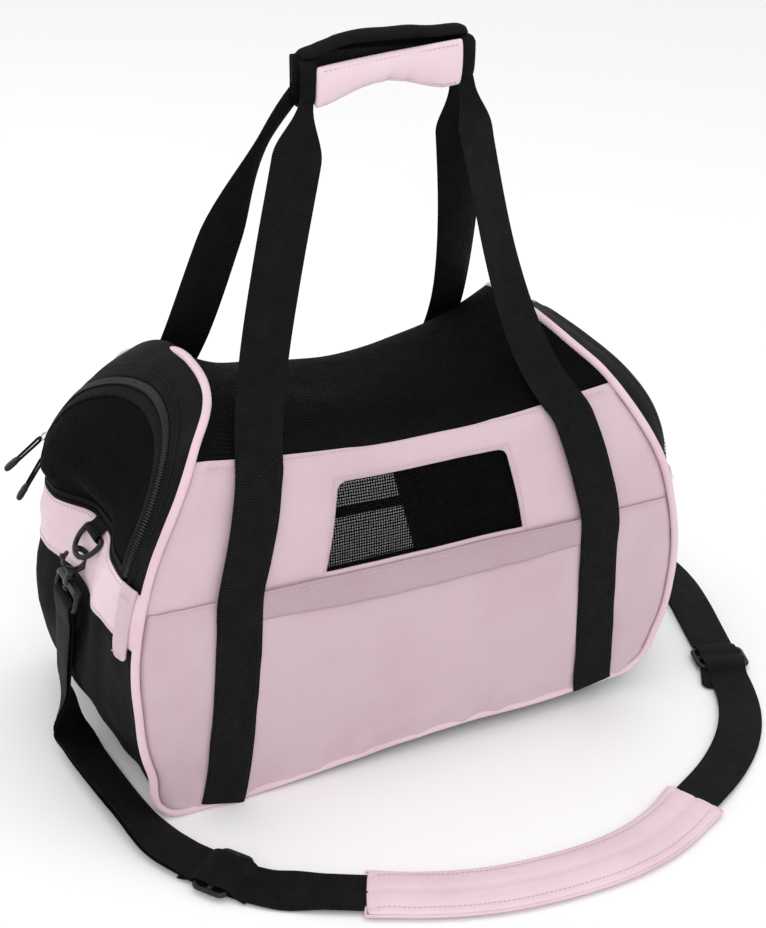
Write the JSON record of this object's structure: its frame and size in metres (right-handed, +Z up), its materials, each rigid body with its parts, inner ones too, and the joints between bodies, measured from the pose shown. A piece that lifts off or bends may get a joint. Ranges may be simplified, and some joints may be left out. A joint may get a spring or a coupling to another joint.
{
  "type": "pet carrier bag",
  "caption": "Soft-sided pet carrier bag with mesh windows, zipped fold-down end doors, padded carry handle and clip-on shoulder strap.",
  "frame": {"origin": "on the floor under the middle of the bag", "axes": "+X along the bag towards its right end, -Y out of the front with the pocket, +Z up"},
  "size_m": [0.6641, 0.4746, 0.585],
  "materials": {
    "coated_fabric": "smooth coated cloth",
    "piping": "coated cloth over cord",
    "window_mesh": "open mesh",
    "mesh": "open mesh",
    "black_fabric": "plain weave",
    "zip_coil": "coil zip",
    "zip_metal": "plated",
    "zip_pull": "cord",
    "webbing": "ribbed webbing",
    "hardware": "moulded",
    "grip_black": "padded cloth",
    "grip_pink": "padded coated cloth",
    "pad_pink": "padded coated cloth",
    "board": "stiff sheet",
    "fleece": "short pile"
  },
  "bodies": {
    "bag": {"base_board": "board", "base_panel": "black_fabric", "fleece_mat": "fleece", "front_handle_webbing": "webbing", "front_panel": "coated_fabric", "front_piping": "piping", "front_sewn_straps": "webbing", "front_window_mesh": "window_mesh", "left_adjuster": "hardware", "left_end_band": "coated_fabric", "left_end_lower": "black_fabric", "left_ring_tab": "webbing", "left_zip_coil": "zip_coil", "left_zip_gusset": "black_fabric", "left_zip_tabs": "coated_fabric", "pocket_hem": "coated_fabric", "pocket_panel": "coated_fabric", "rear_handle_webbing": "webbing", "rear_panel": "coated_fabric", "rear_piping": "piping", "rear_sewn_straps": "webbing", "rear_window_mesh": "window_mesh", "right_adjuster": "hardware", "right_end_band": "coated_fabric", "right_end_lower": "black_fabric", "right_ring_tab": "webbing", "right_zip_coil": "zip_coil", "right_zip_gusset": "black_fabric", "right_zip_tabs": "coated_fabric", "shoulder_pad": "pad_pink", "strap_front_left": "webbing", "strap_front_right": "webbing", "strap_left_drop": "webbing", "strap_left_floor": "webbing", "strap_right_drop": "webbing", "strap_right_floor": "webbing", "top_mesh": "mesh"},
    "left_door": {"left_door_mesh": "mesh", "left_door_coil": "zip_coil"},
    "left_upper_slider": {"left_upper_slider": "zip_metal"},
    "left_lower_slider": {"left_lower_slider": "zip_metal"},
    "left_upper_pull": {"left_upper_pull": "zip_pull"},
    "left_lower_pull": {"left_lower_pull": "zip_pull"},
    "left_ring": {"left_d_ring": "hardware", "left_swivel_eye": "hardware"},
    "left_hook": {"left_snap_hook": "hardware"},
    "left_gate": {"left_hook_gate": "hardware"},
    "right_door": {"right_door_mesh": "mesh", "right_door_coil": "zip_coil"},
    "right_upper_slider": {"right_upper_slider": "zip_metal"},
    "right_lower_slider": {"right_lower_slider": "zip_metal"},
    "right_upper_pull": {"right_upper_pull": "zip_pull"},
    "right_lower_pull": {"right_lower_pull": "zip_pull"},
    "right_ring": {"right_d_ring": "hardware", "right_swivel_eye": "hardware"},
    "right_hook": {"right_snap_hook": "hardware"},
    "right_gate": {"right_hook_gate": "hardware"},
    "grip": {"grip_webbing": "webbing", "grip_back_pad": "grip_black"},
    "grip_flap": {"grip_front_flap": "grip_pink"}
  },
  "joints": [
    {"name": "left_door_fold", "type": "hinge", "parent": "bag", "child": "left_door", "pos_m": [-0.22353, 0, 0.211], "axis": [0, -1, 0], "range_deg": [0, 110]},
    {"name": "left_upper_slider_travel", "type": "hinge", "parent": "bag", "child": "left_upper_slider", "pos_m": [-0.211, 0, 0.23264], "axis": [0.8654, 0, -0.501], "range_deg": [0, 174]},
    {"name": "left_lower_slider_travel", "type": "slide", "parent": "bag", "child": "left_lower_slider", "axis": [0.501, 0, 0.8654], "range_m": [0, 0.006]},
    {"name": "left_upper_pull_swing", "type": "hinge", "parent": "left_upper_slider", "child": "left_upper_pull", "pos_m": [-0.21637, 0.1012, 0.24152], "axis": [0, 1, 0], "range_deg": [0, 70]},
    {"name": "left_lower_pull_swing", "type": "hinge", "parent": "left_lower_slider", "child": "left_lower_pull", "pos_m": [-0.22664, 0.1012, 0.22378], "axis": [0, 1, 0], "range_deg": [0, 48]},
    {"name": "left_ring_swing", "type": "hinge", "parent": "bag", "child": "left_ring", "pos_m": [-0.2345, -0.008, 0.203], "axis": [0, 1, 0], "range_deg": [0, 40], "deforming": ["strap_left_drop"]},
    {"name": "left_hook_swivel", "type": "hinge", "parent": "left_ring", "child": "left_hook", "pos_m": [-0.25105, -0.008, 0.18702], "axis": [-0.2588, 0, -0.9659], "range_deg": [-20, 20]},
    {"name": "left_gate_open", "type": "hinge", "parent": "left_hook", "child": "left_gate", "pos_m": [-0.2614, -0.008, 0.17932], "axis": [0, 1, 0], "range_deg": [0, 16], "stiffness_Nm_per_rad": 0.02, "springref_deg": -17.19},
    {"name": "right_door_fold", "type": "hinge", "parent": "bag", "child": "right_door", "pos_m": [0.22353, 0, 0.211], "axis": [0, 1, 0], "range_deg": [0, 110]},
    {"name": "right_upper_slider_travel", "type": "hinge", "parent": "bag", "child": "right_upper_slider", "pos_m": [0.211, 0, 0.23264], "axis": [0.8654, 0, 0.501], "range_deg": [0, 174]},
    {"name": "right_lower_slider_travel", "type": "slide", "parent": "bag", "child": "right_lower_slider", "axis": [-0.501, 0, 0.8654], "range_m": [0, 0.006]},
    {"name": "right_upper_pull_swing", "type": "hinge", "parent": "right_upper_slider", "child": "right_upper_pull", "pos_m": [0.21637, 0.1012, 0.24152], "axis": [0, -1, 0], "range_deg": [0, 70]},
    {"name": "right_lower_pull_swing", "type": "hinge", "parent": "right_lower_slider", "child": "right_lower_pull", "pos_m": [0.22664, 0.1012, 0.22378], "axis": [0, -1, 0], "range_deg": [0, 48]},
    {"name": "right_ring_swing", "type": "hinge", "parent": "bag", "child": "right_ring", "pos_m": [0.2345, -0.008, 0.203], "axis": [0, -1, 0], "range_deg": [0, 40], "deforming": ["strap_right_drop"]},
    {"name": "right_hook_swivel", "type": "hinge", "parent": "right_ring", "child": "right_hook", "pos_m": [0.25105, -0.008, 0.18702], "axis": [-0.2588, 0, 0.9659], "range_deg": [-20, 20]},
    {"name": "right_gate_open", "type": "hinge", "parent": "right_hook", "child": "right_gate", "pos_m": [0.2614, -0.008, 0.17932], "axis": [0, -1, 0], "range_deg": [0, 16], "stiffness_Nm_per_rad": 0.02, "springref_deg": -17.19},
    {"name": "handle_drop", "type": "slide", "parent": "bag", "child": "grip", "axis": [0, 0, -1], "range_m": [0, 0.14], "deforming": ["front_handle_webbing", "rear_handle_webbing"]},
    {"name": "grip_flap_open", "type": "hinge", "parent": "grip", "child": "grip_flap", "pos_m": [0.011, -0.0125, 0.528], "axis": [1, 0, 0], "range_deg": [0, 115]}
  ]
}
